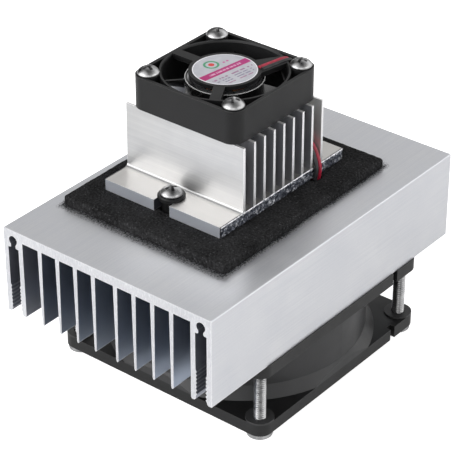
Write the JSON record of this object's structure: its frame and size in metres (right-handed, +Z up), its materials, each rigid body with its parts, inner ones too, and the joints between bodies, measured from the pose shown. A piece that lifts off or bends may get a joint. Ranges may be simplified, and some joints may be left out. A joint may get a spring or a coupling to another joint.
{
  "type": "fan-cooled thermoelectric cooling unit",
  "caption": "Thermoelectric cooling unit: a heat-pump module in foam between a wide finned hot sink with a large fan below and a small finned cold sink with a small fan on top.",
  "frame": {"origin": "centre of the footprint, at the heads of the four screws that hold the large fan", "axes": "+Z up from the large fan to the small one; +X across the hot sink's fins, towards a solid side wall; +Y along the hot sink's extrusion"},
  "size_m": [0.08, 0.1184, 0.0978],
  "materials": {
    "hot_sink": "satin extruded",
    "cold_sink": "satin extruded, sawn ends",
    "screw_steel": "bright plated",
    "bush_nylon": "satin",
    "foam": "matte, porous",
    "ceramic": "matte",
    "leg": "dull metallic",
    "copper": "satin",
    "sealant": "matte",
    "hot_frame": "satin",
    "cold_frame": "satin",
    "impeller": "satin",
    "cup_steel": "satin",
    "magnet": "matte",
    "shaft_steel": "polished",
    "bearing": "sintered",
    "core_steel": "laminated",
    "board": "satin",
    "clip": "satin",
    "label": "printed film",
    "lead_red": "satin",
    "lead_black": "satin"
  },
  "bodies": {
    "unit": {"hot_sink": "hot_sink", "cold_sink": "cold_sink", "clamp_bushes": "bush_nylon", "clamp_screws": "screw_steel", "module_hot_plate": "ceramic", "module_cold_plate": "ceramic", "module_seal": "sealant", "module_legs": "leg", "module_cold_links": "copper", "module_hot_links": "copper", "foam_gasket": "foam", "hot_fan_frame": "hot_frame", "cold_fan_frame": "cold_frame", "hot_fan_screws": "screw_steel", "cold_fan_screws": "screw_steel", "cold_fan_lead_red": "lead_red", "cold_fan_lead_black": "lead_black", "module_lead_red": "lead_red", "module_lead_black": "lead_black", "cold_fan_label": "label", "hot_fan_bearing": "bearing", "hot_fan_stator_core": "core_steel", "hot_fan_coils": "copper", "hot_fan_board": "board", "cold_fan_bearing": "bearing", "cold_fan_stator_core": "core_steel", "cold_fan_coils": "copper", "cold_fan_board": "board"},
    "hot_fan_rotor": {"hot_fan_impeller": "impeller", "hot_fan_rotor_cup": "cup_steel", "hot_fan_magnet": "magnet", "hot_fan_shaft": "shaft_steel", "hot_fan_clip": "clip"},
    "cold_fan_rotor": {"cold_fan_impeller": "impeller", "cold_fan_rotor_cup": "cup_steel", "cold_fan_magnet": "magnet", "cold_fan_shaft": "shaft_steel", "cold_fan_clip": "clip"}
  },
  "joints": [
    {"name": "hot_fan_spin", "type": "hinge", "parent": "unit", "child": "hot_fan_rotor", "pos_m": [0, 0.0036, 0.0151], "axis": [0, 0, 1], "continuous": true},
    {"name": "cold_fan_spin", "type": "hinge", "parent": "unit", "child": "cold_fan_rotor", "pos_m": [-0.0046, 0.0016, 0.0903], "axis": [0, 0, 1], "continuous": true}
  ]
}
